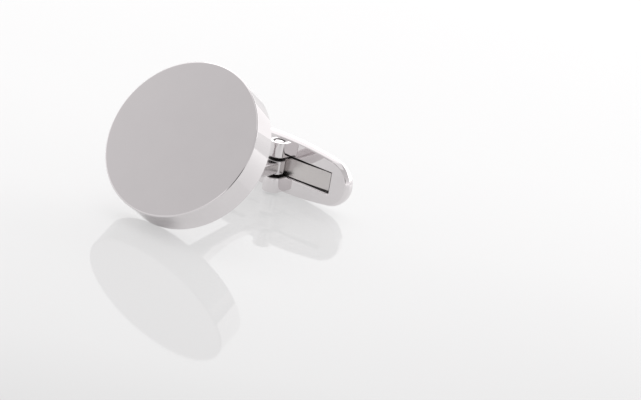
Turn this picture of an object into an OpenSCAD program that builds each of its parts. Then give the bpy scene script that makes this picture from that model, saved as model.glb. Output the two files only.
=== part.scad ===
// Swivel cufflink: a round face disc, a curved arm and a boat-shaped toggle that
// turns on an upright pin. It is drawn as it lies at rest on a flat surface: the disc
// stands on its back edge with its face tipped up, and the toggle stands on its side.
// Millimetres. +Z is up, the face looks towards -Y, and the plane X = 0 is the mirror plane.

/* [Face disc] */
// Diameter of the face disc
disc_d = 17; // [13:0.5:22]
// Thickness of the face disc
disc_t = 3.4; // [2:0.1:4.5]
// Width of the fine bevel round both edges of the disc
disc_bevel = 0.12; // [0.05:0.01:0.4]

/* [Arm] */
// Radius that the middle line of the arm bends round
arm_bend_r = 21.9; // [18:0.1:32]
// Straight length of the arm between its bend and the pin
arm_straight = 1.85; // [0.8:0.05:3]
// Width of the arm's foot, where it meets the disc
arm_foot_w = 4.6; // [3:0.1:6]
// Height of the arm's foot, along the disc's upright diameter
arm_foot_h = 4.8; // [3:0.1:6]
// Width of the arm's neck, across the pin
arm_neck_w = 1.7; // [1.2:0.05:1.75]
// Height of the arm's neck, along the pin
arm_neck_h = 1.4; // [1:0.05:1.45]
// Diameter of the tenon that seats the arm in the disc
tenon_d = 1.8; // [1.2:0.1:2.6]
// Length of that tenon
tenon_l = 1.2; // [0.6:0.1:1.6]

/* [Knuckle and pin] */
// Diameter over the rounded corners of the arm's knuckle
knuckle_d = 1.96; // [1.8:0.02:2.1]
// Width across the knuckle's click flats
knuckle_flats = 1.84; // [1.7:0.02:1.94]
// Height of the knuckle, along the pin
knuckle_h = 1.5; // [1.45:0.05:2.05]
// Diameter of the hinge pin
pin_d = 1; // [0.8:0.05:1.2]

/* [Toggle] */
// Length of the toggle
toggle_l = 17.6; // [15:0.2:20]
// Width of the toggle, along the pin
toggle_w = 6.2; // [5.6:0.1:7]
// Radius of the toggle's rounded tips
tip_r = 2.6; // [2:0.05:2.75]
// Distance from the pin's axis to the toggle's flat front face
face_set = 0.95; // [0.93:0.01:1.3]
// Thickness of the toggle's front plate
plate_t = 0.55; // [0.4:0.05:0.9]
// Length of the slot that the arm folds over
slot_l = 13; // [11:0.1:13.4]
// Width of that slot, along the pin
slot_w = 2.2; // [2.15:0.05:2.8]
// Half width of the two ears, and the radius of their round fronts
ear_r = 1; // [0.95:0.05:1.6]
// Distance that the ears' ends stay inside the toggle's long sides
ear_inset = 0.3; // [0.1:0.05:0.6]

/* [Back shell] */
// Depth of the domed back shell at its crown
shell_crown = 1.3; // [1.2:0.05:1.8]
// Thickness of the shell's edge in the middle of its long sides
shell_side = 0.6; // [0.15:0.05:0.65]
// Thickness of the shell's edge at its tips
shell_tip = 0.6; // [0.3:0.05:0.65]

/* [Leaf spring] */
// Thickness of the leaf spring
spring_t = 0.2; // [0.1:0.02:0.24]
// Width of the leaf spring
spring_w = 2.1; // [1.6:0.05:2.15]
// Length of each spring end that lies behind the plate, past the slot
spring_tail = 0.45; // [0.3:0.05:0.5]

/* [Clearances] */
// Radial running clearance of the pin in the knuckle
pin_play = 0.03; // [0.01:0.01:0.06]
// Radial clearance of the pin in the ears, where it is riveted
rivet_fit = 0.01; // [0.005:0.005:0.02]
// Gap between the knuckle's corners and the spring's crest
click_gap = 0.03; // [0.02:0.01:0.06]
// Gap round the spring, at the plate and in the shell
spring_gap = 0.02; // [0.01:0.01:0.05]
// Radial gap round the tenon, and the gap past its end
tenon_gap = 0.02; // [0.01:0.01:0.05]
// Overrun of every cut past the surface that it opens
overrun = 0.4; // [0.2:0.1:0.8]

/* [Hidden] */
$fn = 96;

// Rest pose. The arm bends through the same angle as the disc leans, so its end is level.
// The disc's back edge and the toggle's side touch the ground together at this lean.
disc_r = disc_d / 2;
rest_reach = sqrt(pow(disc_r + arm_bend_r, 2) + pow(disc_bevel, 2));
lean = acos((toggle_w / 2 + arm_bend_r) / rest_reach) - atan(disc_bevel / (disc_r + arm_bend_r));
back_z = disc_r * cos(lean) - disc_bevel * sin(lean);
pin_z = toggle_w / 2;

// Depths inside the toggle, counted from the pin's axis away from the disc.
plate_back = face_set + plate_t;
crown_y = plate_back + shell_crown;
spring_crest = knuckle_d / 2 + click_gap;

// Places along Y. The origin is below the middle of the whole part.
pin_ahead = arm_bend_r * sin(lean) + arm_straight;
front_reach_face = disc_t * cos(lean) + (disc_r - disc_bevel) * sin(lean);
front_reach_rim = (disc_t - disc_bevel) * cos(lean) + disc_r * sin(lean);
back_y = (max(front_reach_face, front_reach_rim) - pin_ahead - crown_y) / 2;
pin_y = back_y + pin_ahead;

// Toggle outline: two long side arcs that run smoothly into two tip arcs.
tip_x = toggle_l / 2 - tip_r;
side_r = (pow(tip_x, 2) + pow(toggle_w / 2, 2) - pow(tip_r, 2)) / (toggle_w - 2 * tip_r);
ear_top = toggle_w / 2 - side_r + sqrt(pow(side_r, 2) - pow(ear_r, 2)) - ear_inset;

// Leaf spring: a flat strip bowed round one radius, from its crest to the slot's ends.
spring_half = slot_l / 2 + spring_tail;
spring_bow = plate_back + spring_gap - spring_crest;
spring_r = (pow(slot_l / 2, 2) + pow(spring_bow, 2)) / (2 * spring_bow);
spring_end_bow = spring_r - sqrt(pow(spring_r, 2) - pow(spring_half, 2));
pocket_floor = spring_crest + spring_end_bow + spring_t + spring_gap;

// Back shell: a barrel of revolution about a line parallel to the pin.
side_drop = shell_crown - shell_side;
tip_drop = shell_crown - shell_tip;
barrel_side_r = (pow(toggle_w / 2, 2) + pow(side_drop, 2)) / (2 * side_drop);
barrel_long_r = (pow(toggle_l / 2, 2) + pow(tip_drop, 2)) / (2 * tip_drop);

// Arm loft: rings along the bent middle line, each a rounded oblong. Shares of the
// arm's length, from the pin, say where its width and its height begin to flare.
arm_rings = 24;
arm_sides = 32;
arm_round_power = 2.4;
width_flare_share = 0.58;
height_flare_share = 0.1;
width_flare_power = 2;
height_flare_power = 2.2;
neck_end_share = 0.62;
arc_l = arm_bend_r * lean * PI / 180;
neck_end = neck_end_share * knuckle_d / 2;
arm_l = arc_l + arm_straight;
loft_l = arm_l - neck_end;

// Angle that the middle line has turned through at distance s from the disc
function turned(s) = min(s, arc_l) / arm_bend_r * 180 / PI;

// Point on the middle line, as [Y, Z] from the middle of the disc's back
function on_line(s) =
    let (a = turned(s), rest = max(0, s - arc_l), dir = lean - a)
    [arm_bend_r * (sin(lean) - sin(dir)) + rest * cos(dir),
     arm_bend_r * (cos(lean) - cos(dir)) - rest * sin(dir)];

// Growth from 0 at the neck to 1 at the foot, for a flare that starts at a share
function flare(s, from_share, power) =
    let (far = (arm_l - s) / arm_l)
    pow(max(0, (far - from_share) / (1 - from_share)), power);

function arm_w_at(s) =
    arm_neck_w + (arm_foot_w - arm_neck_w) * flare(s, width_flare_share, width_flare_power);
function arm_h_at(s) =
    arm_neck_h + (arm_foot_h - arm_neck_h) * flare(s, height_flare_share, height_flare_power);

// Cosine or sine drawn out towards the corners of a rounded oblong
function rounded(v) = sign(v) * pow(abs(v), 2 / arm_round_power);

function arm_ring(s) =
    let (p = on_line(s), dir = lean - turned(s), w = arm_w_at(s) / 2, h = arm_h_at(s) / 2)
    [for (j = [0:arm_sides - 1])
        let (a = 360 * j / arm_sides, across = w * rounded(cos(a)), up = h * rounded(sin(a)))
        [across, p[0] + up * sin(dir), p[1] + up * cos(dir)]];

// Sets children on the disc's back, with +Z along the disc's axis towards its face
module on_disc_back() {
    translate([0, back_y, back_z]) rotate([90 - lean, 0, 0]) children();
}

// Sets children at the pin, with X along the toggle and +Y away from the disc
module at_pin() {
    translate([0, pin_y, pin_z]) children();
}

// Plate of a flat outline, from depth y0 to depth y1 behind the pin's axis
module plate_between(y0, y1) {
    translate([0, y1, 0]) rotate([90, 0, 0]) linear_extrude(y1 - y0) children();
}

// Outline of the toggle, seen along the arm
module boat() {
    join_x = tip_x * side_r / (side_r - tip_r);
    intersection() {
        translate([0, toggle_w / 2 - side_r]) circle(side_r);
        translate([0, side_r - toggle_w / 2]) circle(side_r);
        square([2 * join_x, toggle_w], center = true);
    }
    for (side = [-1, 1]) translate([side * tip_x, 0]) circle(tip_r);
}

// Smooth bar from the foot on the disc to the neck at the knuckle
module arm_bar() {
    points = [for (i = [0:arm_rings]) each arm_ring(loft_l * i / arm_rings)];
    sides = [for (i = [0:arm_rings - 1], j = [0:arm_sides - 1])
        let (a = i * arm_sides + j, b = i * arm_sides + (j + 1) % arm_sides)
        each [[a, b + arm_sides, a + arm_sides], [a, b, b + arm_sides]]];
    last = arm_rings * arm_sides;
    foot = [for (j = [1:arm_sides - 2]) [0, j + 1, j]];
    neck = [for (j = [1:arm_sides - 2]) [last, last + j, last + j + 1]];
    translate([0, back_y, back_z]) polyhedron(points = points, faces = concat(sides, foot, neck));
}

// Barrel of revolution whose crown lies at crown_y, with its axis parallel to the pin
module barrel() {
    translate([0, crown_y - barrel_long_r, 0]) rotate_extrude($fn = 360) intersection() {
        union() {
            translate([barrel_long_r - barrel_side_r, 0]) circle(barrel_side_r);
            translate([0, -barrel_side_r]) square([barrel_long_r - barrel_side_r, 2 * barrel_side_r]);
        }
        translate([0, -toggle_w]) square([barrel_long_r, 2 * toggle_w]);
    }
}

module front_disc() {
    color("silver") difference() {
        on_disc_back() rotate_extrude() polygon([
            [0, 0], [disc_r - disc_bevel, 0], [disc_r, disc_bevel],
            [disc_r, disc_t - disc_bevel], [disc_r - disc_bevel, disc_t], [0, disc_t]]);
        on_disc_back() translate([0, 0, -overrun])
            cylinder(r = tenon_d / 2 + tenon_gap, h = overrun + tenon_l + tenon_gap);
    }
}

module arm() {
    color("silver") difference() {
        union() {
            arm_bar();
            on_disc_back() translate([0, 0, -overrun]) cylinder(d = tenon_d, h = overrun + tenon_l);
            at_pin() intersection() {
                cylinder(d = knuckle_d, h = knuckle_h, center = true);
                cube([knuckle_flats, knuckle_flats, knuckle_h], center = true);
            }
        }
        at_pin() cylinder(r = pin_d / 2 + pin_play, h = knuckle_h + 2 * overrun, center = true);
    }
}

module toggle_frame() {
    color("silver") at_pin() difference() {
        union() {
            plate_between(face_set, plate_back) boat();
            for (side = [-1, 1]) mirror([0, 0, side < 0 ? 1 : 0]) translate([0, 0, slot_w / 2])
                linear_extrude(ear_top - slot_w / 2) {
                    circle(ear_r);
                    translate([-ear_r, 0]) square([2 * ear_r, face_set + plate_t / 2]);
                }
        }
        plate_between(face_set - overrun, plate_back + overrun)
            square([slot_l, slot_w], center = true);
        cylinder(r = pin_d / 2 + rivet_fit, h = toggle_w + overrun, center = true);
    }
}

module back_shell() {
    color("silver") at_pin() difference() {
        intersection() {
            plate_between(plate_back, crown_y + overrun) boat();
            barrel();
        }
        plate_between(plate_back - overrun, pocket_floor)
            square([2 * (spring_half + spring_gap), spring_w + 2 * spring_gap], center = true);
    }
}

module leaf_spring() {
    color("lightgray") at_pin() translate([0, 0, -spring_w / 2]) linear_extrude(spring_w)
        intersection() {
            translate([0, spring_crest + spring_r]) difference() {
                circle(spring_r, $fn = 360);
                circle(spring_r - spring_t, $fn = 360);
            }
            translate([-spring_half, 0]) square([2 * spring_half, pocket_floor]);
        }
}

module hinge_pin() {
    color("silver") at_pin() intersection() {
        cylinder(d = pin_d, h = 2 * ear_top, center = true);
        sphere(ear_top);
    }
}

front_disc();
arm();
toggle_frame();
back_shell();
leaf_spring();
hinge_pin();
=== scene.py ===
"""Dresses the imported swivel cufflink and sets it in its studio.

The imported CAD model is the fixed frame: millimetre sizes here repeat its named sizes, and
every piece is built in metres at its place in that frame, so nothing is fitted by eye.
"""

from __future__ import annotations

import logging
import math
from dataclasses import dataclass
from enum import Enum
from typing import Any, Callable, Iterable, Sequence

import bpy
from mathutils import Matrix, Vector

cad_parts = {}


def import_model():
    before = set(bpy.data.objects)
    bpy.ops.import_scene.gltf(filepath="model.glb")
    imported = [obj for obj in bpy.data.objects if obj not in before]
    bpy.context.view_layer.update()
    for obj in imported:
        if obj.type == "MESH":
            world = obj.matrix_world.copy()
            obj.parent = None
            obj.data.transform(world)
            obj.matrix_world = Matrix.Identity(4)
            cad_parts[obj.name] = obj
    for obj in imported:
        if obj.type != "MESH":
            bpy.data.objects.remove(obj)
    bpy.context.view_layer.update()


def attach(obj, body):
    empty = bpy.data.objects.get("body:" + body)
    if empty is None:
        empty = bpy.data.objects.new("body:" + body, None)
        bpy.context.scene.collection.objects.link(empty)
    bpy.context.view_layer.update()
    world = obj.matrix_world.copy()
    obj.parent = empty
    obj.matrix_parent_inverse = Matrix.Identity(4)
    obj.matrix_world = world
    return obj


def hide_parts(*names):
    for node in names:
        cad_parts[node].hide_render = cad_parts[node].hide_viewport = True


LOG = logging.getLogger("cufflink")
MM = 0.001
TINY = 1e-9
EDGE_STEPS = 4
# Attribute that paints shade into recesses and dulls them, from 0 to 1.
SHADE_AND_DULLNESS = "shade_and_dullness"

Piece = bpy.types.Object
Material = bpy.types.Material
Node = bpy.types.Node
Socket = bpy.types.NodeSocket
Loop = list[Vector]
Pair = tuple[float, float]
Triple = tuple[float, float, float]
Colour = Triple
Rule = Callable[[float, float], float]


def bow_radius(half: float, rise: float) -> float:
    """Radius of an arc, from half of its chord and its rise."""
    return (half**2 + rise**2) / (2 * rise)


@dataclass(frozen=True)
class CuffSizes:
    """The named sizes of the part's source, in millimetres, and what follows from them."""

    disc_d: float = 17.0
    disc_t: float = 3.4
    disc_bevel: float = 0.12
    arm_bend_r: float = 21.9
    arm_straight: float = 1.85
    arm_foot_w: float = 4.6
    arm_foot_h: float = 4.8
    arm_neck_w: float = 1.7
    arm_neck_h: float = 1.4
    knuckle_d: float = 1.96
    knuckle_flats: float = 1.84
    knuckle_h: float = 1.5
    pin_d: float = 1.0
    toggle_l: float = 17.6
    toggle_w: float = 6.2
    tip_r: float = 2.6
    face_set: float = 0.95
    plate_t: float = 0.55
    slot_l: float = 13.0
    slot_w: float = 2.2
    ear_r: float = 1.0
    ear_inset: float = 0.3
    shell_crown: float = 1.3
    shell_side: float = 0.6
    shell_tip: float = 0.6
    spring_t: float = 0.2
    spring_w: float = 2.1
    spring_tail: float = 0.45
    pin_play: float = 0.03
    rivet_fit: float = 0.01
    click_gap: float = 0.03
    spring_gap: float = 0.02
    neck_end_share: float = 0.62

    @property
    def disc_r(self) -> float:
        """Radius of the face disc."""
        return self.disc_d / 2

    @property
    def lean(self) -> float:
        """Angle in radians by which the disc leans back from upright."""
        reach = math.hypot(self.disc_r + self.arm_bend_r, self.disc_bevel)
        tip = math.acos((self.toggle_w / 2 + self.arm_bend_r) / reach)
        return tip - math.atan(self.disc_bevel / (self.disc_r + self.arm_bend_r))

    @property
    def plate_back(self) -> float:
        """Depth of the toggle plate's back, behind the pin's axis."""
        return self.face_set + self.plate_t

    @property
    def crown_y(self) -> float:
        """Depth of the back shell's crown, behind the pin's axis."""
        return self.plate_back + self.shell_crown

    @property
    def pin_ahead(self) -> float:
        """Distance along Y from the disc's back to the pin."""
        return self.arm_bend_r * math.sin(self.lean) + self.arm_straight

    @property
    def back_y(self) -> float:
        """Y of the middle of the disc's back."""
        cos, sin = math.cos(self.lean), math.sin(self.lean)
        face = self.disc_t * cos + (self.disc_r - self.disc_bevel) * sin
        rim = (self.disc_t - self.disc_bevel) * cos + self.disc_r * sin
        return (max(face, rim) - self.pin_ahead - self.crown_y) / 2

    @property
    def back_z(self) -> float:
        """Z of the middle of the disc's back."""
        return self.disc_r * math.cos(self.lean) - self.disc_bevel * math.sin(self.lean)

    @property
    def pin_y(self) -> float:
        """Y of the pin's axis."""
        return self.back_y + self.pin_ahead

    @property
    def pin_z(self) -> float:
        """Z of the pin's middle."""
        return self.toggle_w / 2

    @property
    def arc_l(self) -> float:
        """Length of the arm's bent part."""
        return self.arm_bend_r * self.lean

    @property
    def arm_l(self) -> float:
        """Length of the arm's middle line, from the disc to the pin."""
        return self.arc_l + self.arm_straight

    @property
    def loft_l(self) -> float:
        """Length of the arm's loft, from the disc to its end in the knuckle."""
        return self.arm_l - self.neck_end_share * self.knuckle_d / 2

    @property
    def tip_x(self) -> float:
        """X of the centre of the toggle's tip arc."""
        return self.toggle_l / 2 - self.tip_r

    @property
    def side_r(self) -> float:
        """Radius of the toggle's long side arcs."""
        half = self.toggle_w / 2
        top = self.tip_x**2 + half**2 - self.tip_r**2
        return top / (self.toggle_w - 2 * self.tip_r)

    @property
    def ear_top(self) -> float:
        """Height of the ears' ends above the pin's middle."""
        side = self.toggle_w / 2 - self.side_r + math.sqrt(self.side_r**2 - self.ear_r**2)
        return side - self.ear_inset

    @property
    def spring_crest(self) -> float:
        """Depth of the leaf spring's crest, behind the pin's axis."""
        return self.knuckle_d / 2 + self.click_gap

    @property
    def spring_half(self) -> float:
        """Half of the leaf spring's length."""
        return self.slot_l / 2 + self.spring_tail

    @property
    def spring_r(self) -> float:
        """Radius that the leaf spring is bowed round."""
        return bow_radius(self.slot_l / 2, self.plate_back + self.spring_gap - self.spring_crest)

    @property
    def pocket_floor(self) -> float:
        """Depth of the floor of the spring's pocket, behind the pin's axis."""
        bow = self.spring_r - math.sqrt(self.spring_r**2 - self.spring_half**2)
        return self.spring_crest + bow + self.spring_t + self.spring_gap

    @property
    def barrel_side_r(self) -> float:
        """Radius of the back shell's crown across the toggle."""
        return bow_radius(self.toggle_w / 2, self.shell_crown - self.shell_side)

    @property
    def barrel_long_r(self) -> float:
        """Radius of the back shell's crown along the toggle."""
        return bow_radius(self.toggle_l / 2, self.shell_crown - self.shell_tip)

    def on_disc_back(self) -> Matrix:
        """Place of the disc's back, with +Z along the disc's axis towards its face."""
        turn = Matrix.Rotation(math.pi / 2 - self.lean, 4, "X")
        return Matrix.Translation((0, self.back_y, self.back_z)) @ turn

    def at_pin(self) -> Matrix:
        """Place of the pin's middle, with X along the toggle and +Y away from the disc."""
        return Matrix.Translation((0, self.pin_y, self.pin_z))


@dataclass(frozen=True)
class Maths:
    """A number socket of a node tree that Python's operators work on."""

    tree: bpy.types.NodeTree
    socket: Socket

    def run(self, operation: str, *others: Maths | float, first: bool = True) -> Maths:
        """Adds one Math node.

        Args:
            operation: the Math node's operation.
            others: its further inputs.
            first: whether this value is the first input, or else the second.

        Returns:
            The node's result.
        """
        node = self.tree.nodes.new("ShaderNodeMath")
        node.operation = operation
        values = [self, *others] if first else [*others, self]
        for at, value in enumerate(values):
            if isinstance(value, Maths):
                self.tree.links.new(value.socket, node.inputs[at])
            else:
                node.inputs[at].default_value = value
        return Maths(self.tree, node.outputs[0])

    def __add__(self, other: Maths | float) -> Maths:
        """self + other."""
        return self.run("ADD", other)

    __radd__ = __add__

    def __sub__(self, other: Maths | float) -> Maths:
        """self - other."""
        return self.run("SUBTRACT", other)

    def __rsub__(self, other: float) -> Maths:
        """other - self."""
        return self.run("SUBTRACT", other, first=False)

    def __mul__(self, other: Maths | float) -> Maths:
        """self * other."""
        return self.run("MULTIPLY", other)

    __rmul__ = __mul__

    def __truediv__(self, other: Maths | float) -> Maths:
        """self / other."""
        return self.run("DIVIDE", other)

    def __rtruediv__(self, other: float) -> Maths:
        """other / self."""
        return self.run("DIVIDE", other, first=False)

    def __pow__(self, other: Maths | float) -> Maths:
        """self to the power of other."""
        return self.run("POWER", other)

    def eased(self, low: float, high: float) -> Maths:
        """Smooth step from 0 at low to 1 at high."""
        share = ((self - low) / (high - low)).run("MAXIMUM", 0.0).run("MINIMUM", 1.0)
        return share * share * (3.0 - 2.0 * share)

    def rounded(self, power: Maths) -> Maths:
        """The value drawn out towards a rounded oblong's corners, with its sign kept."""
        return self.run("SIGN") * self.run("ABSOLUTE") ** power


@dataclass(frozen=True)
class Graph:
    """A node tree that is written as calls."""

    tree: bpy.types.NodeTree

    def node(
        self,
        kind: str,
        settings: dict[str, Any] | None = None,
        sockets: dict[str | int, Any] | None = None,
    ) -> Node:
        """Adds one node.

        Args:
            kind: the node's type.
            settings: its own settings; stops are a ramp's places and grey tones.
            sockets: what goes into its inputs, as feed takes it.

        Returns:
            The node.
        """
        made = self.tree.nodes.new(kind)
        for name, value in (settings or {}).items():
            if name == "stops":
                self._set_stops(made, value)
            else:
                setattr(made, name, value)
        self.feed(made, sockets or {})
        return made

    def feed(self, node: Node, sockets: dict[str | int, Any]) -> None:
        """Sets or links a node's inputs.

        Args:
            node: the node.
            sockets: a value, a socket or a Maths for each input, by name or number.
        """
        for key, value in sockets.items():
            if isinstance(value, Maths):
                value = value.socket
            if isinstance(value, Socket):
                self.tree.links.new(value, node.inputs[key])
            else:
                node.inputs[key].default_value = value

    def value(self, node: Node, output: str | int = 0) -> Maths:
        """One of a node's outputs, for sums."""
        return Maths(self.tree, node.outputs[output])

    def mix(self, factor: Maths, first: Colour | Socket, second: Colour | Socket) -> Socket:
        """Blends two colours.

        Args:
            factor: 0 for the first colour, 1 for the second.
            first: a colour or a colour socket.
            second: a colour or a colour socket.

        Returns:
            The blended colour's socket.
        """
        ends = [c if isinstance(c, Socket) else (*c, 1.0) for c in (first, second)]
        sockets = {0: factor, 6: ends[0], 7: ends[1]}
        return self.node("ShaderNodeMix", {"data_type": "RGBA"}, sockets).outputs[2]

    def along(self, vector: Socket, way: Vector) -> Maths:
        """How far a vector reaches along a direction, whose length scales the result."""
        made = self.node("ShaderNodeVectorMath", {"operation": "DOT_PRODUCT"}, {0: vector, 1: way})
        return self.value(made, "Value")

    def place(self) -> Socket:
        """Object coordinates, in metres."""
        return self.node("ShaderNodeTexCoord").outputs["Object"]

    def recess_shade(self) -> Maths:
        """How much painted recess shade and dullness the surface gets, from 0 to 1."""
        return self.value(self.node("ShaderNodeAttribute", {"attribute_name": SHADE_AND_DULLNESS}), "Fac")

    def noise(self, vector: Socket, scale: float, layers: float, grain: float = 0.5) -> Maths:
        """Soft random values from 0 to 1: blobs in a metre, finer layers and their strength."""
        sockets = {"Vector": vector, "Scale": scale, "Detail": layers, "Roughness": grain}
        return self.value(self.node("ShaderNodeTexNoise", {}, sockets), "Fac")

    def bump(self, height: Maths, depth_mm: float) -> Socket:
        """Normals of a surface that a height of 1 raises by a depth."""
        sockets = {"Height": height, "Strength": 1.0, "Distance": depth_mm * MM}
        return self.node("ShaderNodeBump", {}, sockets).outputs["Normal"]

    @staticmethod
    def _set_stops(ramp: Node, stops: Sequence[Pair]) -> None:
        """Gives a colour ramp its stops.

        Args:
            ramp: the ramp node.
            stops: place and grey tone of each stop.
        """
        row = ramp.color_ramp.elements
        while len(row) > 1:
            row.remove(row[-1])
        for at, (place, tone) in enumerate(stops):
            element = row[0] if at == 0 else row.new(place)
            element.position, element.color = place, (tone, tone, tone, 1.0)


class Surface(Enum):
    """The finishes that the cufflink's pieces wear."""

    POLISHED = "polished_rhodium"
    SATIN = "satin_spring_steel"


@dataclass(frozen=True)
class PolishedRhodium:
    """Mirror-polished rhodium plate, with a faint haze, polishing lines and waviness.

    Recesses that no polishing wheel reaches are dull, and their colour is darkened with
    painted shade, as the pieces' shade_and_dullness attribute says.
    """

    tint: Colour = (0.80, 0.772, 0.778)
    hazed_tint: Colour = (0.77, 0.742, 0.75)
    # Painted shade: the near-black colour that recesses are darkened towards.
    recess_shade_tint: Colour = (0.045, 0.04, 0.04)
    roughness: float = 0.025
    recess_roughness: float = 0.8
    haze: float = 0.03
    haze_mm: float = 2.6
    haze_layers: float = 3.0
    haze_grain: float = 0.55
    line_mm: float = 0.05
    line_stretch: float = 14.0
    line_turn: Triple = (0.5, 0.9, 0.2)
    line_layers: float = 2.0
    line_floor: float = 0.55
    line_softness: float = 0.1
    line_roughness: float = 0.06
    line_depth_share: float = 0.02
    wave_mm: float = 3.2
    wave_layers: float = 1.0
    wave_depth_mm: float = 0.0006

    def build(self) -> Material:
        """Makes the material.

        Returns:
            The material, named after its finish.
        """
        material, graph, shader = start_material(Surface.POLISHED.value)
        place, shade_and_dullness = graph.place(), graph.recess_shade()
        stretch = {"Scale": (1.0, 1.0, self.line_stretch), "Rotation": self.line_turn}
        turned = graph.node("ShaderNodeMapping", {}, {"Vector": place, **stretch}).outputs[0]
        hair_scale = 1 / (self.line_mm * self.line_stretch * MM)
        fog = graph.noise(place, 1 / (self.haze_mm * MM), self.haze_layers, self.haze_grain)
        hair = graph.noise(turned, hair_scale, self.line_layers)
        wave = graph.noise(place, 1 / (self.wave_mm * MM), self.wave_layers)
        fine = hair.run("SMOOTH_MAX", self.line_floor, self.line_softness) - self.line_floor
        open_rough = self.roughness + self.haze * fog * fog + self.line_roughness * fine
        unshaded = graph.mix(fog, self.tint, self.hazed_tint)
        sockets = {
            "Metallic": 1.0,
            # Painted shade: recesses are darkened towards recess_shade_tint.
            "Base Color": graph.mix(shade_and_dullness * shade_and_dullness, unshaded, self.recess_shade_tint),
            "Roughness": open_rough * (1.0 - shade_and_dullness) + self.recess_roughness * shade_and_dullness,
            "Normal": graph.bump(wave + self.line_depth_share * hair, self.wave_depth_mm),
        }
        graph.feed(shader, sockets)
        return material


@dataclass(frozen=True)
class SatinSpring:
    """Rolled spring steel, with fine drawn lines along its length and painted shade along its long
    edges.
    """

    tint: Colour = (0.72, 0.69, 0.68)
    shade: Colour = (0.66, 0.63, 0.62)
    # Painted shade: the near-black colour of the spring's long edges, for the shaded gaps beside
    # it.
    edge_shade_tint: Colour = (0.04, 0.035, 0.035)
    edge_roughness: float = 0.4
    roughness: float = 0.2
    line_mm: float = 0.06
    line_stretch: float = 30.0
    line_layers: float = 3.0
    line_roughness: float = 0.08
    line_depth_mm: float = 0.0004

    def build(self) -> Material:
        """Makes the material.

        Returns:
            The material, named after its finish.
        """
        material, graph, shader = start_material(Surface.SATIN.value)
        stretch = {"Vector": graph.place(), "Scale": (1 / self.line_stretch, 1.0, 1.0)}
        drawn = graph.node("ShaderNodeMapping", {}, stretch).outputs[0]
        hair = graph.noise(drawn, 1 / (self.line_mm * MM), self.line_layers)
        shade_and_dullness = graph.recess_shade()
        open_rough = self.roughness + self.line_roughness * hair
        unshaded = graph.mix(hair, self.shade, self.tint)
        sockets = {
            "Metallic": 1.0,
            # Painted shade along the edges, where the attribute is 1.
            "Base Color": graph.mix(shade_and_dullness, unshaded, self.edge_shade_tint),
            "Roughness": open_rough * (1.0 - shade_and_dullness) + self.edge_roughness * shade_and_dullness,
            "Normal": graph.bump(hair, self.line_depth_mm),
        }
        graph.feed(shader, sockets)
        return material


def start_material(name: str) -> tuple[Material, Graph, Node]:
    """Makes a material with its shader in place.

    Args:
        name: the material's name.

    Returns:
        The material, its graph and its Principled shader.
    """
    material = bpy.data.materials.new(name)
    material.use_nodes = True
    material.node_tree.nodes.clear()
    graph = Graph(material.node_tree)
    shader = graph.node("ShaderNodeBsdfPrincipled")
    graph.node("ShaderNodeOutputMaterial", {}, {"Surface": shader.outputs[0]})
    return material, graph, shader


def make_materials() -> dict[Surface, Material]:
    """Makes each finish's material."""
    return {Surface.POLISHED: PolishedRhodium().build(), Surface.SATIN: SatinSpring().build()}


class Ends(Enum):
    """How the first and last loops of a skin are shut."""

    JOINED = "joined"
    CAPPED = "capped"
    POLES = "poles"


def skin(
    name: str, loops: Sequence[Loop], ends: Ends, place: Matrix, shade_and_dullness: Sequence[float] = ()
) -> Piece:
    """Builds one closed piece from loops that all have as many points.

    Args:
        name: the piece's name.
        loops: the loops, in millimetres in their own place.
        ends: how the chain of loops is shut.
        place: where the piece goes in the part's frame, in millimetres.
        shade_and_dullness: how far each loop, or each point of them in turn, lies in a recess,
            from 0 to 1, which darkens it with painted shade and dulls it; none is open all over.

    Returns:
        The piece, in metres, with its faces pointing outward.
    """
    count = len(loops[0])
    points = [place @ p * MM for loop in loops for p in loop]
    faces: list[tuple[int, ...]] = []
    rows = len(loops) if ends is Ends.JOINED else len(loops) - 1
    for row in range(rows):
        low, high = row * count, (row + 1) % len(loops) * count
        for at in range(count):
            nxt = (at + 1) % count
            faces.append((low + at, low + nxt, high + nxt, high + at))
    last = (len(loops) - 1) * count
    if ends is Ends.CAPPED:
        faces.append(tuple(reversed(range(count))))
        faces.append(tuple(range(last, last + count)))
    if ends is Ends.POLES:
        for start, turned in ((0, True), (last, False)):
            middle = sum((points[start + at] for at in range(count)), Vector()) / count
            points.append(middle)
            for at in range(count):
                pair = (start + at, start + (at + 1) % count)
                faces.append((*(reversed(pair) if turned else pair), len(points) - 1))
    mesh = bpy.data.meshes.new(name)
    mesh.from_pydata([tuple(p) for p in points], [], faces)
    mesh.validate()
    if signed_volume(mesh) < 0:
        mesh.flip_normals()
    # Painted shade: each point's recess shade and dullness is stored for the materials.
    if shade_and_dullness:
        each = len(loops) * count // len(shade_and_dullness)
        shade_levels = [depth for depth in shade_and_dullness for _ in range(each)]
        shade_levels += [0.0] * (len(points) - len(shade_levels))
        mesh.attributes.new(SHADE_AND_DULLNESS, "FLOAT", "POINT").data.foreach_set("value", shade_levels)
    return add_object(name, mesh)


def signed_volume(mesh: bpy.types.Mesh) -> float:
    """Measures the volume that a closed mesh holds.

    Args:
        mesh: the mesh.

    Returns:
        The volume, below zero where the mesh is inside out.
    """
    mesh.calc_loop_triangles()
    total = 0.0
    for tri in mesh.loop_triangles:
        a, b, c = (mesh.vertices[i].co for i in tri.vertices)
        total += a.dot(b.cross(c))
    return total / 6


def add_object(name: str, data: bpy.types.ID) -> bpy.types.Object:
    """Puts a mesh, a lamp or a camera into the scene.

    Args:
        name: the object's name.
        data: what it shows.

    Returns:
        The object, at the origin.
    """
    made = bpy.data.objects.new(name, data)
    bpy.context.scene.collection.objects.link(made)
    return made


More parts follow.
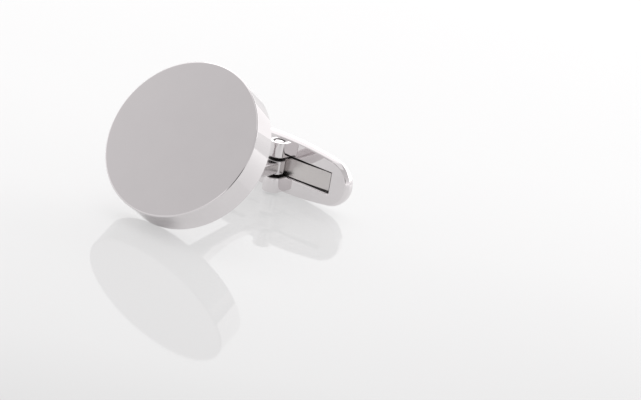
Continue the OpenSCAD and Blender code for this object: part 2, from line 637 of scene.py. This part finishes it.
def joined(name: str, parts: Sequence[Piece]) -> Piece:
    """Makes one object of several.

    Args:
        name: the new object's name.
        parts: the objects, which are used up.

    Returns:
        The joined object.
    """
    bpy.context.view_layer.update()
    with bpy.context.temp_override(
        active_object=parts[0], selected_editable_objects=list(parts), object=parts[0]
    ):
        bpy.ops.object.join()
    parts[0].name = parts[0].data.name = name
    return parts[0]


def polish_edges(piece: Piece, sharp_deg: float = 50.0) -> None:
    """Shades a piece smooth, with flat faces kept flat up to their fine bevels.

    Args:
        piece: the piece, whose modifiers are worked into its mesh.
        sharp_deg: the angle past which an edge stays crisp.
    """
    mesh = piece.data
    mesh.shade_smooth()
    mesh.set_sharp_from_angle(angle=math.radians(sharp_deg))
    even = piece.modifiers.new("even_flats", "WEIGHTED_NORMAL")
    even.mode, even.weight, even.keep_sharp = "FACE_AREA", 100, True
    bake_modifiers(piece)


def bake_modifiers(piece: Piece) -> None:
    """Works a piece's modifiers into a plain mesh and takes them off.

    Args:
        piece: the piece.
    """
    bpy.context.view_layer.update()
    graph = bpy.context.evaluated_depsgraph_get()
    mesh = bpy.data.meshes.new_from_object(
        piece.evaluated_get(graph), preserve_all_data_layers=True, depsgraph=graph
    )
    piece.modifiers.clear()
    old, piece.data = piece.data, mesh
    name = old.name
    bpy.data.meshes.remove(old)
    mesh.name = name


def even_steps(start: float, stop: float, count: int) -> list[float]:
    """Even steps from a start to the one before a stop."""
    return [start + (stop - start) * at / count for at in range(count)]


def polar_loop(angles: Sequence[float], reach: Rule, z: float) -> Loop:
    """Outline about Z, whose reach comes from the cosine and sine of a point's direction."""
    ways = [(math.cos(a), math.sin(a)) for a in angles]
    return [Vector((reach(cos, sin) * cos, reach(cos, sin) * sin, z)) for cos, sin in ways]


def circle_loop(radius: float, z: float, count: int) -> Loop:
    """Points round a circle about Z."""
    return polar_loop(even_steps(0, 2 * math.pi, count), lambda cos, sin: radius, z)


def round_over(radius: float, steps: int) -> list[Pair]:
    """Inset and drop along a quarter-round edge, from the wall's start to the flat face."""
    turn = [math.pi / 2 * at / steps for at in range(steps + 1)]
    return [(radius * (1 - math.cos(a)), radius * (1 - math.sin(a))) for a in turn]


@dataclass
class Assembly:
    """A sub-assembly, with the sizes that it follows and the materials that it may wear."""

    sizes: CuffSizes
    materials: dict[Surface, Material]

    def hand_over(self, piece: Piece, surface: Surface, body: str, node: str, slot: str) -> None:
        """Polishes and dresses a piece, and ties it to the frame.

        Args:
            piece: the piece.
            surface: the finish that it wears.
            body: the CAD body that it rides on.
            node: the CAD node that it stands for.
            slot: the record's material slot; not used.
        """
        polish_edges(piece)
        piece.data.materials.clear()
        piece.data.materials.append(self.materials[surface])
        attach(piece, body)
        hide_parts(node)
        LOG.info("%s: %d faces, for %s on %s", piece.name, len(piece.data.polygons), node, body)


@dataclass
class FaceDisc(Assembly):
    """The solid round disc that shows on the cuff."""

    sides: int = 288
    softening: float = 0.02

    def profile(self) -> list[Pair]:
        """Draws the disc's wall.

        Returns:
            Radius and height along it, from the back to the face.
        """
        s, soft = self.sizes, self.softening
        bevel, slope = s.disc_bevel, self.softening * math.sqrt(0.5)
        lower = [
            (s.disc_r - bevel - soft, 0.0),
            (s.disc_r - bevel + slope, slope),
            (s.disc_r - slope, bevel - slope),
            (s.disc_r, bevel + soft),
        ]
        upper = [(r, s.disc_t - z) for r, z in reversed(lower)]
        return lower + upper

    def build(self) -> None:
        """Makes the disc in place of its CAD node."""
        s = self.sizes
        loops = [circle_loop(r, z, self.sides) for r, z in self.profile()]
        support = loops[0][0].x - 2 * self.softening
        for radius in (support, s.disc_r / 2):
            loops.insert(0, circle_loop(radius, 0.0, self.sides))
            loops.append(circle_loop(radius, s.disc_t, self.sides))
        piece = skin("polished_disc", loops, Ends.CAPPED, s.on_disc_back())
        self.hand_over(piece, Surface.POLISHED, "face_side", "front_disc", "polished_metal")


@dataclass
class FlaredArm(Assembly):
    """The bent bar from the disc to the pin, and its squared knuckle."""

    rings: int = 132
    sides: int = 96
    foot_round_power: float = 2.4
    neck_round_power: float = 5.0
    width_flare_share: float = 0.58
    height_flare_share: float = 0.1
    width_flare_power: float = 2.0
    height_flare_power: float = 2.2
    neck_round_span: Pair = (0.1, 0.5)
    # Painted shade and dullness on the arm's neck, growing towards the knuckle.
    neck_shade_span: Pair = (0.2, 0.45)
    neck_shade_and_dullness: float = 0.25
    knuckle_sides: int = 192
    knuckle_edge: float = 0.1

    def loft_inputs(self) -> dict[str, float | int]:
        """Gathers the loft tree's inputs.

        Returns:
            Their names and values, with lengths in metres.
        """
        s = self.sizes
        return {
            "Rings": self.rings,
            "Sides": self.sides,
            "Bend Radius": s.arm_bend_r * MM,
            "Arc Length": s.arc_l * MM,
            "Arm Length": s.arm_l * MM,
            "Loft Length": s.loft_l * MM,
            "Lean": s.lean,
            "Foot Width": s.arm_foot_w * MM,
            "Foot Height": s.arm_foot_h * MM,
            "Neck Width": s.arm_neck_w * MM,
            "Neck Height": s.arm_neck_h * MM,
            "Width Flare Share": self.width_flare_share,
            "Height Flare Share": self.height_flare_share,
            "Width Flare Power": self.width_flare_power,
            "Height Flare Power": self.height_flare_power,
            "Foot Round Power": self.foot_round_power,
            "Neck Round Power": self.neck_round_power,
            "Neck Shade And Dullness": self.neck_shade_and_dullness,
            "Start Y": s.back_y * MM,
            "Start Z": s.back_z * MM,
        }

    def loft_tree(self, material: Material) -> bpy.types.NodeTree:
        """Builds the geometry tree that lofts the arm along its bent middle line.

        Args:
            material: what the loft wears.

        Returns:
            The tree.
        """
        tree = bpy.data.node_groups.new("arm_loft", "GeometryNodeTree")
        tree.interface.new_socket("Geometry", in_out="OUTPUT", socket_type="NodeSocketGeometry")
        for name, value in self.loft_inputs().items():
            kind = "NodeSocketInt" if isinstance(value, int) else "NodeSocketFloat"
            tree.interface.new_socket(name, in_out="INPUT", socket_type=kind).default_value = value
        graph = Graph(tree)
        given = graph.node("NodeGroupInput")
        size = {name: graph.value(given, name) for name in self.loft_inputs()}
        tube = graph.node(
            "GeometryNodeMeshCylinder",
            {"fill_type": "NGON"},
            {"Vertices": size["Sides"], "Side Segments": size["Rings"], "Radius": 1, "Depth": 1},
        )
        unit = graph.node(
            "ShaderNodeSeparateXYZ", {}, {0: graph.node("GeometryNodeInputPosition").outputs[0]}
        )
        along = (0.5 - graph.value(unit, "Z")) * size["Loft Length"]
        heading = size["Lean"] - along.run("MINIMUM", size["Arc Length"]) / size["Bend Radius"]
        straight = (along - size["Arc Length"]).run("MAXIMUM", 0.0)
        sin, cos = heading.run("SINE"), heading.run("COSINE")
        line_y = size["Bend Radius"] * (size["Lean"].run("SINE") - sin) + straight * cos
        line_z = size["Bend Radius"] * (size["Lean"].run("COSINE") - cos) - straight * sin
        far = (size["Arm Length"] - along) / size["Arm Length"]
        half: dict[str, Maths] = {}
        for way in ("Width", "Height"):
            share = size[f"{way} Flare Share"]
            flare = ((far - share) / (1.0 - share)).run("MAXIMUM", 0.0)
            flare = flare ** size[f"{way} Flare Power"]
            neck = size[f"Neck {way}"]
            half[way] = (neck + (size[f"Foot {way}"] - neck) * flare) * 0.5
        neck_part = 1.0 - far.eased(*self.neck_round_span)
        gain = size["Neck Round Power"] - size["Foot Round Power"]
        draw_out = 2.0 / (size["Foot Round Power"] + gain * neck_part)
        across = half["Width"] * graph.value(unit, "X").rounded(draw_out)
        up = half["Height"] * graph.value(unit, "Y").rounded(draw_out)
        y, z = size["Start Y"] + line_y + up * sin, size["Start Z"] + line_z + up * cos
        spot = graph.node("ShaderNodeCombineXYZ", {}, {"X": across, "Y": y, "Z": z})
        # Painted shade and dullness, zero along most of the arm and full at the neck's end.
        neck_shading = (1.0 - far.eased(*self.neck_shade_span)) * size["Neck Shade And Dullness"]
        flow = tube.outputs["Mesh"]
        for kind, sockets in (
            ("GeometryNodeStoreNamedAttribute", {"Name": SHADE_AND_DULLNESS, "Value": neck_shading}),
            ("GeometryNodeSetPosition", {"Position": spot.outputs[0]}),
            ("GeometryNodeRealizeInstances", {}),
            ("GeometryNodeSetMaterial", {"Material": material}),
        ):
            flow = graph.node(kind, {}, {"Geometry": flow, **sockets}).outputs[0]
        graph.node("NodeGroupOutput", {}, {"Geometry": flow})
        return tree

    def loft(self) -> Piece:
        """Makes the lofted bar.

        Returns:
            The bar, as a plain mesh.
        """
        bar = add_object("arm_bar", bpy.data.meshes.new("arm_bar"))
        tree = self.loft_tree(self.materials[Surface.POLISHED])
        modifier = bar.modifiers.new("arm_loft", "NODES")
        modifier.node_group = tree
        values = self.loft_inputs()
        for item in tree.interface.items_tree:
            if item.in_out == "INPUT":
                modifier[item.identifier] = values[item.name]
        bake_modifiers(bar)
        return bar

    def knuckle(self) -> Piece:
        """Makes the squared click knuckle.

        Returns:
            The knuckle, round the pin.
        """
        s = self.sizes
        half, flat = s.knuckle_h / 2, s.knuckle_flats / 2
        bore, count = s.pin_d / 2 + s.pin_play, self.knuckle_sides
        turns = even_steps(0, 2 * math.pi, count)

        def reach(cos: float, sin: float) -> float:
            """Distance from the pin's axis to a circle that is cut by four flats."""
            return min(s.knuckle_d / 2, flat / max(abs(cos), abs(sin)))

        def ring(inset: float, z: float) -> Loop:
            """The knuckle's outline, drawn in by an inset."""
            return polar_loop(turns, lambda cos, sin: reach(cos, sin) - inset, z)

        edge = round_over(self.knuckle_edge, EDGE_STEPS)
        lower = [ring(inset, drop - half) for inset, drop in reversed(edge)]
        upper = [ring(inset, half - drop) for inset, drop in edge]
        loops = [circle_loop(bore, -half, count), *lower, *upper, circle_loop(bore, half, count)]
        # Painted shade: full in the bore, strong on the top and bottom faces that sit between the
        # ears, and at the neck's level on the outer wall.
        shade = [max(self.neck_shade_and_dullness, at / len(edge)) for at in range(len(edge))]
        shade_and_dullness = [1.0, *reversed(shade), *shade, 1.0]
        return skin("knuckle", loops, Ends.JOINED, s.at_pin(), shade_and_dullness)

    def build(self) -> None:
        """Makes the arm in place of its CAD node."""
        piece = joined("flared_arm", [self.loft(), self.knuckle()])
        self.hand_over(piece, Surface.POLISHED, "face_side", "arm", "polished_metal")


@dataclass
class SwivelToggle(Assembly):
    """The boat-shaped toggle: slotted plate, ears, back shell, leaf spring and pin."""

    plate_slope: float = 0.2
    plate_slope_l: float = 0.45
    plate_edge: float = 0.03
    slot_edge: float = 0.21
    slot_edge_steps: int = 6
    slot_end_share: float = 0.85
    # Painted shade: how many rounding steps of the slot's lower lip stay unshaded, and how dark the
    # slot wall is at the plate's back.
    unshaded_lip_steps: int = 3
    slot_back_shade_and_dullness: float = 0.5
    support: float = 0.04
    ear_edge: float = 0.07
    ear_inner_edge: float = 0.14
    ear_inner_steps: int = 5
    ear_side_steps: int = 12
    ear_root_steps: int = 24
    ear_front_steps: int = 96
    shell_edge: float = 0.12
    spring_edge: float = 0.03
    # Width of the painted shade band along each of the spring's long edges.
    spring_shade_band: float = 0.07
    spring_steps: int = 120
    pin_edge: float = 0.03
    pin_sides: int = 96
    pin_dome_steps: int = 10
    facet_room: float = 0.004
    tip_steps: int = 44
    side_steps: int = 64
    dome_steps: int = 26

    def join_turn(self) -> float:
        """Angle, about a tip arc's centre, at which it meets the side arc."""
        s = self.sizes
        return math.atan2(s.side_r - s.toggle_w / 2, s.tip_x)

    def boat_angles(self, marks: Iterable[float]) -> list[float]:
        """Directions from the toggle's middle at which its outlines are sampled.

        Args:
            marks: directions in the first quarter that need a point, such as a corner's.

        Returns:
            The directions in radians, once round.
        """
        s, turn = self.sizes, self.join_turn()
        quarter = [
            math.atan2(s.tip_r * math.sin(a), s.tip_x + s.tip_r * math.cos(a))
            for a in (turn * at / self.tip_steps for at in range(self.tip_steps + 1))
        ]
        start = s.tip_x + s.tip_r * math.cos(turn)
        for at in range(1, self.side_steps + 1):
            x = start * (1 - at / self.side_steps)
            z = s.toggle_w / 2 - s.side_r + math.sqrt(s.side_r**2 - x**2)
            quarter.append(math.atan2(z, x))
        for mark in marks:
            nearest = min(range(1, len(quarter) - 1), key=lambda i: abs(quarter[i] - mark))
            quarter[nearest] = mark
        upper = quarter + [math.pi - a for a in reversed(quarter[:-1])]
        return upper + [a + math.pi for a in upper[1:-1]]

    def boat_reach(self, a: float, inset: float = 0.0) -> float:
        """Distance from the middle to the boat outline.

        Args:
            a: the direction, in radians.
            inset: how far the outline is drawn in.

        Returns:
            The distance in millimetres.
        """
        s, turn = self.sizes, self.join_turn()
        cos, sin = abs(math.cos(a)), abs(math.sin(a))
        inset += self.facet_room
        tip_r, side_r = s.tip_r - inset, s.side_r - inset
        join = math.atan2(tip_r * math.sin(turn), s.tip_x + tip_r * math.cos(turn))
        if math.atan2(sin, cos) <= join:
            return s.tip_x * cos + math.sqrt(max(0.0, tip_r**2 - (s.tip_x * sin) ** 2))
        low = s.toggle_w / 2 - s.side_r
        return low * sin + math.sqrt(side_r**2 - (low * cos) ** 2)

    def boat_loop(self, angles: Sequence[float], depth: Rule, inset: float = 0.0) -> Loop:
        """Boat outline at a depth that may vary over the toggle.

        Args:
            angles: directions of the points.
            depth: depth behind the pin's axis, from X and Z.
            inset: how far the outline is drawn in.

        Returns:
            The loop.
        """
        points = []
        for a in angles:
            reach = self.boat_reach(a, inset)
            x, z = reach * math.cos(a), reach * math.sin(a)
            points.append(Vector((x, depth(x, z), z)))
        return points

    @staticmethod
    def oblong_loop(
        angles: Sequence[float], half_l: float, half_w: float, y: float, grow: Pair = (0.0, 0.0)
    ) -> Loop:
        """Rectangle's outline.

        Args:
            angles: directions of the points.
            half_l: half of its length along X.
            half_w: half of its width along Z.
            y: its depth.
            grow: how far its ends and its long sides are moved out.

        Returns:
            The loop.
        """
        points = []
        for a in angles:
            cos, sin = math.cos(a), math.sin(a)
            reach = min(half_l / max(abs(cos), TINY), half_w / max(abs(sin), TINY))
            x, z = reach * cos, reach * sin
            points.append(Vector((x * (1 + grow[0] / half_l), y, z * (1 + grow[1] / half_w))))
        return points

    def shell_depth(self, x: float, z: float) -> float:
        """Finds the back shell's crowned surface.

        Args:
            x: the place along the toggle.
            z: the place across it.

        Returns:
            The surface's depth behind the pin's axis.
        """
        s = self.sizes
        across = s.barrel_long_r - s.barrel_side_r + math.sqrt(s.barrel_side_r**2 - z**2)
        return s.crown_y - self.facet_room - s.barrel_long_r + math.sqrt(across**2 - x**2)

    def plate(self) -> Piece:
        """Makes the slotted front plate.

        Returns:
            The plate, with painted shade on its slot's lip and wall, and the lower lip's outer
            rounding left unshaded.
        """
        s = self.sizes
        half_l, half_w = s.slot_l / 2, s.slot_w / 2
        angles = self.boat_angles([math.atan2(half_w, half_l)])
        front, back = s.face_set, s.plate_back
        lip = round_over(self.slot_edge, self.slot_edge_steps)
        slope, edge = self.plate_slope, self.plate_edge
        wall = [(0.0, back), (0.0, front + self.plate_slope_l + edge)]
        wall += [(edge / 4, front + self.plate_slope_l), (slope - edge / 4, front + edge)]
        wall += [(slope + edge, front), (slope + edge + self.support, front)]
        loops = [self.boat_loop(angles, lambda x, z, y=depth: y, inset) for inset, depth in wall]
        for sink, grow in [(0.0, self.slot_edge + self.support), *lip]:
            out = (grow * self.slot_end_share, grow)
            loops.append(self.oblong_loop(angles, half_l, half_w, front + sink, out))
        loops.append(self.oblong_loop(angles, half_l, half_w, back))
        # Painted shade: 1 on the slot's rounded lip, fading to half at the plate's back; the lower
        # lip's outer steps stay unshaded.
        shade_levels = [0.0] * (len(wall) + 2) + [1.0] * (len(lip) - 1) + [self.slot_back_shade_and_dullness]
        unshaded = len(wall) + 2 + self.unshaded_lip_steps
        shade_and_dullness = [
            0.0 if at < unshaded and p.z < -half_w else depth
            for at, (depth, loop) in enumerate(zip(shade_levels, loops))
            for p in loop
        ]
        return skin("plate", loops, Ends.JOINED, s.at_pin(), shade_and_dullness)

    def ear(self, side: int) -> Piece:
        """Makes one ear.

        Args:
            side: 1 for the upper ear, -1 for the lower.

        Returns:
            The ear, with the pin's hole through it.
        """
        s = self.sizes
        base, low, high = s.face_set + s.plate_t / 2, s.slot_w / 2 + self.facet_room, s.ear_top
        corner = math.atan2(base, s.ear_r)
        marks = even_steps(0, corner, self.ear_side_steps)
        marks += even_steps(corner, math.pi - corner, self.ear_root_steps)
        marks += even_steps(math.pi - corner, math.pi, self.ear_side_steps)
        marks += even_steps(math.pi, 2 * math.pi, self.ear_front_steps)

        def reach(cos: float, sin: float, wide: float) -> float:
            """Distance to a round front, and to straight sides that end in the plate."""
            return min(wide / max(abs(cos), TINY), base / sin) if sin > TINY else wide

        def ring(inset: float, z: float) -> Loop:
            """The ear's outline, drawn in by an inset."""
            wide = s.ear_r - inset
            return polar_loop(marks, lambda cos, sin: reach(cos, sin, wide), side * z)

        inner = round_over(self.ear_inner_edge, self.ear_inner_steps)
        outer = round_over(self.ear_edge, EDGE_STEPS)
        bore = s.pin_d / 2 + s.rivet_fit
        loops = [ring(inset, low + drop) for inset, drop in reversed(inner)]
        loops += [ring(inset, high - drop) for inset, drop in outer]
        loops += [polar_loop(marks, lambda cos, sin: bore, side * z) for z in (high, low)]
        # Painted shade: the inner rounding darkens towards the slot, and the bore is fully shaded.
        shade = [1.0 - at / (len(inner) - 1) for at in range(len(inner))]
        shade_and_dullness = shade + [0.0] * len(outer) + [1.0, 1.0]
        name = "ear_upper" if side > 0 else "ear_lower"
        return skin(name, loops, Ends.JOINED, s.at_pin(), shade_and_dullness)

    def back_shell(self) -> Piece:
        """Makes the domed back.

        Returns:
            The back, with the spring's pocket in it.
        """
        s = self.sizes
        half_l, half_w = s.spring_half + s.spring_gap, s.spring_w / 2 + s.spring_gap
        angles = self.boat_angles([math.atan2(half_w, half_l)])
        loops = [
            self.oblong_loop(angles, half_l, half_w, s.pocket_floor),
            self.oblong_loop(angles, half_l, half_w, s.plate_back),
            self.boat_loop(angles, lambda x, z: s.plate_back),
        ]
        for inset, drop in round_over(self.shell_edge, EDGE_STEPS):
            loops.append(
                self.boat_loop(angles, lambda x, z, d=drop: self.shell_depth(x, z) - d, inset)
            )
        rim = loops[-1]
        for at in range(1, self.dome_steps):
            share = 1 - at / self.dome_steps
            ring = [Vector((p.x * share, 0, p.z * share)) for p in rim]
            loops.append([Vector((p.x, self.shell_depth(p.x, p.z), p.z)) for p in ring])
        # Painted shade: the spring's pocket floor and walls are fully darkened.
        shade_and_dullness = [1.0, 1.0] + [0.0] * (len(loops) - 2)
        shell = skin("domed_back", loops, Ends.POLES, s.at_pin(), shade_and_dullness)
        shell.data.vertices[-1].co = s.at_pin() @ Vector((0, self.shell_depth(0, 0), 0)) * MM
        return shell

    def leaf_spring(self) -> Piece:
        """Makes the leaf spring.

        Returns:
            The spring, bowed along the slot.
        """
        s = self.sizes
        edge, steps = self.spring_edge, self.spring_steps
        half, thick = s.spring_w / 2, s.spring_t
        unshaded = half - self.spring_shade_band
        section = [(0, edge - half), (0, -unshaded - edge), (0, -unshaded), (0, unshaded), (0, unshaded + edge)]
        section += [(0, half - edge), (edge, half), (thick - edge, half), (thick, half - edge)]
        section += [(thick, edge - half), (thick - edge, -half), (edge, -half)]
        # Painted shade: 1 darkens the spring's long edges and sides, 0 leaves its middle strips
        # unshaded.
        shade = [1.0, 1.0, 0.0, 0.0, 1.0, 1.0, 1.0, 1.0, 0.0, 0.0, 1.0, 1.0]
        loops = []
        for at in range(steps + 1):
            a = math.asin(s.spring_half / s.spring_r) * (2 * at / steps - 1)
            loop = []
            for y, z in section:
                radius = s.spring_r - y
                x = min(s.spring_half, max(-s.spring_half, s.spring_r * math.sin(a)))
                depth = s.spring_crest + s.spring_r - math.sqrt(radius**2 - x**2)
                loop.append(Vector((x, depth, z)))
            loops.append(loop)
        return skin("bowed_spring", loops, Ends.CAPPED, s.at_pin(), shade * len(loops))

    def pin(self) -> Piece:
        """Makes the riveted pin.

        Returns:
            The pin, with gently domed ends.
        """
        s = self.sizes
        steps, edge = self.pin_dome_steps, self.pin_edge
        radius, top = s.pin_d / 2, s.ear_top
        radii = [(radius - edge) * at / steps for at in range(1, steps + 1)]
        upper = [(r, math.sqrt(top**2 - r**2)) for r in radii]
        brow = upper[-1][1] - edge
        inner = s.slot_w / 2 + self.ear_inner_edge
        wall = [(radius, brow), (radius, inner), (radius, -inner), (radius, -brow)]
        profile = upper + wall + [(r, -z) for r, z in reversed(upper)]
        loops = [circle_loop(r, z, self.pin_sides) for r, z in profile]
        # Painted shade: the pin's stretch between the ears is darkened.
        shade_and_dullness = [0.0] * (steps + 1) + [1.0, 1.0] + [0.0] * (steps + 1)
        return skin("domed_pin", loops, Ends.CAPPED, s.at_pin(), shade_and_dullness)

    def build(self) -> None:
        """Makes the toggle's pieces in place of their CAD nodes."""
        polished, satin = Surface.POLISHED, Surface.SATIN
        frame = joined("slotted_frame", [self.plate(), self.ear(1), self.ear(-1)])
        self.hand_over(frame, polished, "toggle", "toggle_frame", "polished_metal")
        self.hand_over(self.back_shell(), polished, "toggle", "back_shell", "polished_metal")
        self.hand_over(self.leaf_spring(), satin, "toggle", "leaf_spring", "spring_steel")
        self.hand_over(self.pin(), polished, "toggle", "hinge_pin", "polished_metal")


@dataclass(frozen=True)
class Softbox:
    """One soft studio lamp."""

    name: str
    place_mm: Triple
    aim_mm: Triple
    size_mm: Pair
    radiance: float

    def build(self) -> None:
        """Hangs the lamp."""
        lamp = bpy.data.lights.new(self.name, "AREA")
        lamp.shape = "RECTANGLE"
        lamp.size, lamp.size_y = self.size_mm[0] * MM, self.size_mm[1] * MM
        lamp.energy = self.radiance * math.pi * lamp.size * lamp.size_y
        made = add_object(self.name, lamp)
        made.location = Vector(self.place_mm) * MM
        facing = (Vector(self.aim_mm) - Vector(self.place_mm)).normalized()
        made.rotation_euler = facing.to_track_quat("-Z", "Y").to_euler()


@dataclass(frozen=True)
class GlowLobe:
    """A soft bright patch of the tent: its direction, its gain, and the cosines of its edge."""

    way: Triple
    gain: float
    edge: float
    core: float


@dataclass(frozen=True)
class Studio:
    """A pale glossy table in a white tent, with a few soft lamps and the camera."""

    floor_half_m: float = 3.0
    floor_way: Pair = (-0.556, 0.831)
    floor_from_mm: float = -60.0
    floor_to_mm: float = 90.0
    # Painted light falloff: the table's colour runs darker near the camera and paler towards the
    # back.
    floor_tones: tuple[Pair, ...] = (
        (0.0, 0.69),
        (0.13, 0.78),
        (0.27, 0.825),
        (0.4, 0.86),
        (0.6, 0.88),
        (1.0, 0.865),
    )
    floor_glow_share: float = 0.5
    mirrored_glow_share: float = 0.6
    # Painted shadow: the table's glow, as seen in reflections, is lowered round where the disc
    # stands.
    contact_mm: Pair = (0.9, -10.2)
    contact_core_mm: float = 1.0
    contact_edge_mm: float = 3.5
    contact_shadow_glow_share: float = 0.2
    floor_roughness: float = 0.03
    floor_cloud_scale: float = 9.0
    floor_cloud_layers: float = 2.0
    floor_cloud_roughness: float = 0.015
    floor_ior: float = 1.45
    sky_tones: tuple[Pair, ...] = ((0.0, 1.2), (0.25, 0.8), (0.55, 0.66), (1.0, 0.6))
    sky_tint: Colour = (1.0, 0.985, 0.99)
    glow_lobes: tuple[GlowLobe, ...] = (
        GlowLobe((-0.896, -0.199, 0.398), 0.3, 0.84, 0.97),
        GlowLobe((-0.5, 0.4, 0.768), 0.62, 0.82, 0.93),
    )
    opening_way: Triple = (0.812, -0.528, 0.249)
    opening_tone: float = 0.06
    opening_edge: float = 0.955
    opening_core: float = 0.985
    sky_peak: float = 2.0
    lens_mm: float = 146.192
    sensor_mm: float = 36.0
    clip_m: Pair = (0.01, 20.0)
    camera_mm: Triple = (149.92, -204.01, 90.66)
    camera_forward: Triple = (-0.52692, 0.78417, -0.32778)
    camera_up: Triple = (-0.32742, 0.16861, 0.92971)
    lamps: tuple[Softbox, ...] = (
        Softbox("back_softbox", (0.0, 560.0, 230.0), (0.0, 0.0, 10.0), (1100.0, 340.0), 1.27),
        Softbox("top_softbox", (60.0, -40.0, 620.0), (0.0, 0.0, 0.0), (420.0, 420.0), 0.3),
    )

    def floor(self) -> None:
        """Lays the glossy white table, paler towards the back as the photograph has it."""
        half = self.floor_half_m
        corners = [(x * half, y * half, 0) for x, y in ((-1, -1), (1, -1), (1, 1), (-1, 1))]
        mesh = bpy.data.meshes.new("table_top")
        mesh.from_pydata(corners, [], [(0, 1, 2, 3)])
        table = add_object("table_top", mesh)
        material, graph, shader = start_material("glossy_white_table")
        place = graph.place()
        back = graph.along(place, Vector((*self.floor_way, 0.0)) / MM)
        share = (back - self.floor_from_mm) / (self.floor_to_mm - self.floor_from_mm)
        pale = graph.node("ShaderNodeValToRGB", {"stops": self.floor_tones}, {0: share})
        cloud = graph.noise(place, self.floor_cloud_scale, self.floor_cloud_layers)
        rough = self.floor_roughness + self.floor_cloud_roughness * cloud
        colour = pale.outputs[0]
        graph.feed(shader, {"Base Color": colour, "Roughness": rough, "IOR": self.floor_ior})
        seen = graph.node("ShaderNodeLightPath")
        by_eye = self.floor_glow_share * graph.value(seen, "Is Camera Ray")
        # Painted contact shadow in reflections: less glow within a few millimetres of the contact.
        spot = Vector((*self.contact_mm, 0.0)) * MM
        apart = graph.node("ShaderNodeVectorMath", {"operation": "DISTANCE"}, {0: place, 1: spot})
        clear = (graph.value(apart, "Value") / MM).eased(self.contact_core_mm, self.contact_edge_mm)
        low, gain = self.contact_shadow_glow_share, self.mirrored_glow_share - self.contact_shadow_glow_share
        by_mirror = (low + gain * clear) * graph.value(seen, "Is Glossy Ray")
        glow = graph.node("ShaderNodeEmission", {}, {"Color": colour, "Strength": 1.0})
        both = graph.node(
            "ShaderNodeMixShader",
            {},
            {0: by_eye.run("MAXIMUM", by_mirror), 1: shader.outputs[0], 2: glow.outputs[0]},
        )
        end = next(n for n in graph.tree.nodes if n.bl_idname == "ShaderNodeOutputMaterial")
        graph.feed(end, {"Surface": both.outputs[0]})
        mesh.materials.append(material)

    def sky(self) -> None:
        """Makes the white tent: pale low down, greyer overhead, open to the right of the camera."""
        world = bpy.data.worlds.new("white_tent")
        world.use_nodes = True
        world.node_tree.nodes.clear()
        graph = Graph(world.node_tree)
        way = graph.node("ShaderNodeTexCoord").outputs["Generated"]
        height = graph.along(way, Vector((0, 0, 1)))
        ramp = graph.node("ShaderNodeValToRGB", {"stops": self.sky_tones}, {0: height})
        tone = graph.value(ramp)
        for lobe in self.glow_lobes:
            tone = tone + lobe.gain * graph.along(way, Vector(lobe.way)).eased(lobe.edge, lobe.core)
        hole = graph.along(way, Vector(self.opening_way))
        hole = hole.eased(self.opening_edge, self.opening_core)
        tone = tone * (1.0 - hole) + self.opening_tone * hole
        cloth = graph.mix(tone / self.sky_peak, (0.0, 0.0, 0.0), self.sky_tint)
        light = graph.node("ShaderNodeBackground", {}, {"Color": cloth, "Strength": self.sky_peak})
        graph.node("ShaderNodeOutputWorld", {}, {"Surface": light.outputs[0]})
        bpy.context.scene.world = world

    def camera(self) -> None:
        """Sets the camera at the photograph's viewing angle."""
        data = bpy.data.cameras.new("photo_camera")
        data.lens, data.sensor_width = self.lens_mm, self.sensor_mm
        data.clip_start, data.clip_end = self.clip_m
        made = add_object("photo_camera", data)
        forward = Vector(self.camera_forward).normalized()
        right = forward.cross(Vector(self.camera_up)).normalized()
        turn = Matrix((right, right.cross(forward), -forward)).transposed().to_4x4()
        made.matrix_world = Matrix.Translation(Vector(self.camera_mm) * MM) @ turn
        bpy.context.scene.camera = made

    def build(self) -> None:
        """Makes the table, the tent, the lamps and the camera."""
        self.floor()
        self.sky()
        for lamp in self.lamps:
            lamp.build()
        self.camera()
        bpy.context.scene.view_settings.view_transform = "Standard"
        LOG.info("studio: %d lamps", len(self.lamps))


def main() -> None:
    """Loads the frame, builds the cufflink and its studio, and keeps their sizes."""
    logging.basicConfig(level=logging.INFO, format="%(name)s: %(message)s")
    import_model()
    sizes, materials = CuffSizes(), make_materials()
    for assembly in (FaceDisc, FlaredArm, SwivelToggle):
        assembly(sizes, materials).build()
    Studio().build()


if __name__ == "__main__":
    main()
